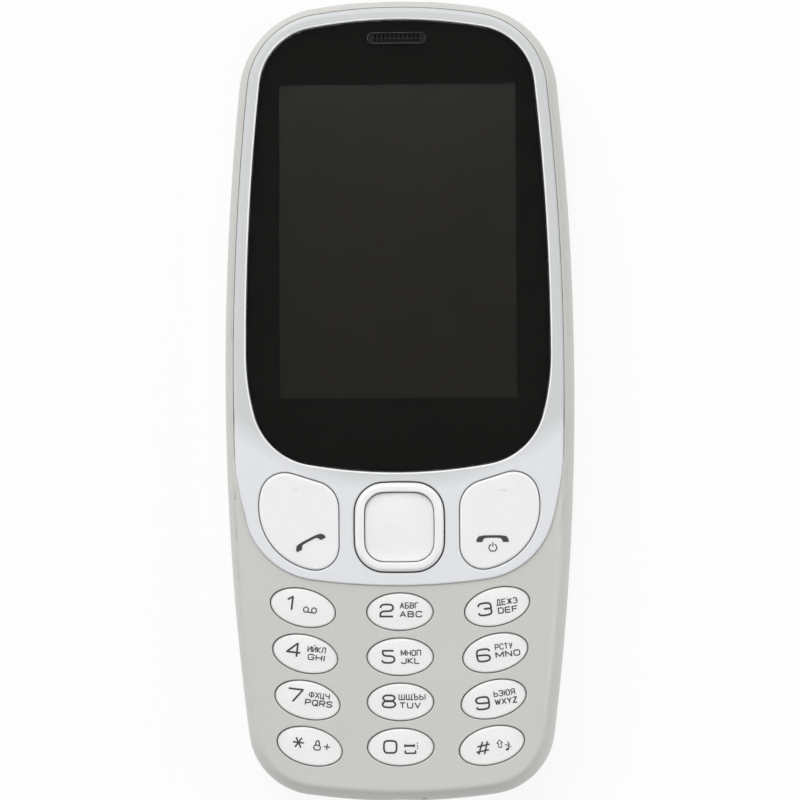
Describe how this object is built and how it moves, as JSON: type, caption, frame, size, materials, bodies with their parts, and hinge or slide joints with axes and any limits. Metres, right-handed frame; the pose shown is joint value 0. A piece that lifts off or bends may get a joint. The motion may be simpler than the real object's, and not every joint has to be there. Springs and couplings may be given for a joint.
{
  "type": "feature phone",
  "caption": "Candybar feature phone with an oval keypad, a square navigation ring, a dark rounded display window and a wrap-round rear cover.",
  "frame": {"origin": "on the back face, under the middle of the plan", "axes": "+Z out of the screen, +Y to the earpiece end, +X to the end-key side"},
  "size_m": [0.0508, 0.1161, 0.0131],
  "materials": {
    "shell": "satin light warm grey moulding",
    "bezel": "pale silver-grey satin lacquer",
    "keycap": "white moulding, soft gloss",
    "window": "clear hard-coated pane, gloss",
    "black_trim": "black moulding and print",
    "display_glass": "dark switched-off panel",
    "light_guide": "milky clear moulding",
    "frame_plastic": "dark grey glass-filled moulding",
    "board": "green solder mask over glass laminate",
    "ribbon": "amber film",
    "plated_steel": "tin-plated pressed steel",
    "screw_steel": "blackened machine screw",
    "weight_metal": "sintered heavy metal",
    "contact_gold": "gold-flashed contact",
    "silicone": "translucent grey silicone",
    "battery_case": "wrapped aluminium can"
  },
  "bodies": {
    "rear_cover": {"rear_cover": "shell", "camera_lens_window": "window", "camera_ring": "plated_steel"},
    "phone_body": {"front_housing": "shell", "display_bezel": "bezel", "display_window": "window", "window_tape": "black_trim", "display_gasket": "black_trim", "earpiece_receiver": "black_trim", "loudspeaker": "black_trim", "microphone": "black_trim", "audio_jack": "black_trim", "display_connector": "black_trim", "camera_module": "black_trim", "display_panel": "display_glass", "display_backlight": "light_guide", "keypad_lamps": "light_guide", "chassis_frame": "frame_plastic", "antenna_carrier": "frame_plastic", "battery_contacts": "frame_plastic", "main_board": "board", "display_flex": "ribbon", "dome_sheet": "ribbon", "display_frame": "plated_steel", "shield_cans": "plated_steel", "sim_socket_1": "plated_steel", "sim_socket_2": "plated_steel", "memory_card_socket": "plated_steel", "usb_socket": "plated_steel", "vibration_motor": "plated_steel", "key_domes": "plated_steel", "earpiece_grille": "plated_steel", "housing_screws": "screw_steel", "antenna_strip": "contact_gold", "keypad_mat": "silicone"},
    "battery": {"battery": "battery_case", "battery_terminals": "contact_gold"},
    "vibration_weight": {"vibration_weight": "weight_metal"},
    "call_key": {"call_key": "keycap"},
    "end_key": {"end_key": "keycap"},
    "nav_carrier": {"nav_carrier": "frame_plastic"},
    "nav_ring": {"nav_ring": "keycap"},
    "select_key": {"select_key": "keycap"},
    "key_1": {"key_1": "keycap"},
    "key_2": {"key_2": "keycap"},
    "key_3": {"key_3": "keycap"},
    "key_4": {"key_4": "keycap"},
    "key_5": {"key_5": "keycap"},
    "key_6": {"key_6": "keycap"},
    "key_7": {"key_7": "keycap"},
    "key_8": {"key_8": "keycap"},
    "key_9": {"key_9": "keycap"},
    "key_star": {"key_star": "keycap"},
    "key_0": {"key_0": "keycap"},
    "key_hash": {"key_hash": "keycap"}
  },
  "joints": [
    {"name": "cover_release", "type": "slide", "parent": "rear_cover", "child": "phone_body", "axis": [0, 0, 1], "range_m": [0, 0.022]},
    {"name": "battery_release", "type": "slide", "parent": "phone_body", "child": "battery", "axis": [0, 0, -1], "range_m": [0, 0.011]},
    {"name": "vibration_spin", "type": "hinge", "parent": "phone_body", "child": "vibration_weight", "pos_m": [0.0117, -0.0412, 0.0047], "axis": [1, 0, 0], "continuous": true},
    {"name": "call_rock", "type": "hinge", "parent": "phone_body", "child": "call_key", "pos_m": [-0.0138, -0.0176, 0.01], "axis": [1, 0, 0], "range_deg": [-2, 2], "stiffness_Nm_per_rad": 0.02},
    {"name": "end_rock", "type": "hinge", "parent": "phone_body", "child": "end_key", "pos_m": [0.0138, -0.0176, 0.01], "axis": [1, 0, 0], "range_deg": [-2, 2], "stiffness_Nm_per_rad": 0.02},
    {"name": "nav_up_down", "type": "hinge", "parent": "phone_body", "child": "nav_carrier", "pos_m": [0, -0.01855, 0.01], "axis": [1, 0, 0], "range_deg": [-1.5, 1.5], "stiffness_Nm_per_rad": 0.02},
    {"name": "nav_left_right", "type": "hinge", "parent": "nav_carrier", "child": "nav_ring", "pos_m": [0, -0.01855, 0.01], "axis": [0, 1, 0], "range_deg": [-1.5, 1.5], "stiffness_Nm_per_rad": 0.02},
    {"name": "select_press", "type": "slide", "parent": "phone_body", "child": "select_key", "axis": [0, 0, -1], "range_m": [0, 0.00035], "stiffness_N_per_m": 900, "springref_m": -0.0002},
    {"name": "key_1_press", "type": "slide", "parent": "phone_body", "child": "key_1", "axis": [0, 0, -1], "range_m": [0, 0.00035], "stiffness_N_per_m": 900, "springref_m": -0.0002},
    {"name": "key_2_press", "type": "slide", "parent": "phone_body", "child": "key_2", "axis": [0, 0, -1], "range_m": [0, 0.00035], "stiffness_N_per_m": 900, "springref_m": -0.0002},
    {"name": "key_3_press", "type": "slide", "parent": "phone_body", "child": "key_3", "axis": [0, 0, -1], "range_m": [0, 0.00035], "stiffness_N_per_m": 900, "springref_m": -0.0002},
    {"name": "key_4_press", "type": "slide", "parent": "phone_body", "child": "key_4", "axis": [0, 0, -1], "range_m": [0, 0.00035], "stiffness_N_per_m": 900, "springref_m": -0.0002},
    {"name": "key_5_press", "type": "slide", "parent": "phone_body", "child": "key_5", "axis": [0, 0, -1], "range_m": [0, 0.00035], "stiffness_N_per_m": 900, "springref_m": -0.0002},
    {"name": "key_6_press", "type": "slide", "parent": "phone_body", "child": "key_6", "axis": [0, 0, -1], "range_m": [0, 0.00035], "stiffness_N_per_m": 900, "springref_m": -0.0002},
    {"name": "key_7_press", "type": "slide", "parent": "phone_body", "child": "key_7", "axis": [0, 0, -1], "range_m": [0, 0.00035], "stiffness_N_per_m": 900, "springref_m": -0.0002},
    {"name": "key_8_press", "type": "slide", "parent": "phone_body", "child": "key_8", "axis": [0, 0, -1], "range_m": [0, 0.00035], "stiffness_N_per_m": 900, "springref_m": -0.0002},
    {"name": "key_9_press", "type": "slide", "parent": "phone_body", "child": "key_9", "axis": [0, 0, -1], "range_m": [0, 0.00035], "stiffness_N_per_m": 900, "springref_m": -0.0002},
    {"name": "key_star_press", "type": "slide", "parent": "phone_body", "child": "key_star", "axis": [0, 0, -1], "range_m": [0, 0.00035], "stiffness_N_per_m": 900, "springref_m": -0.0002},
    {"name": "key_0_press", "type": "slide", "parent": "phone_body", "child": "key_0", "axis": [0, 0, -1], "range_m": [0, 0.00035], "stiffness_N_per_m": 900, "springref_m": -0.0002},
    {"name": "key_hash_press", "type": "slide", "parent": "phone_body", "child": "key_hash", "axis": [0, 0, -1], "range_m": [0, 0.00035], "stiffness_N_per_m": 900, "springref_m": -0.0002}
  ],
  "couplings": [
    {"joint": "battery_release", "follows": "cover_release", "ratio": 0.5}
  ]
}
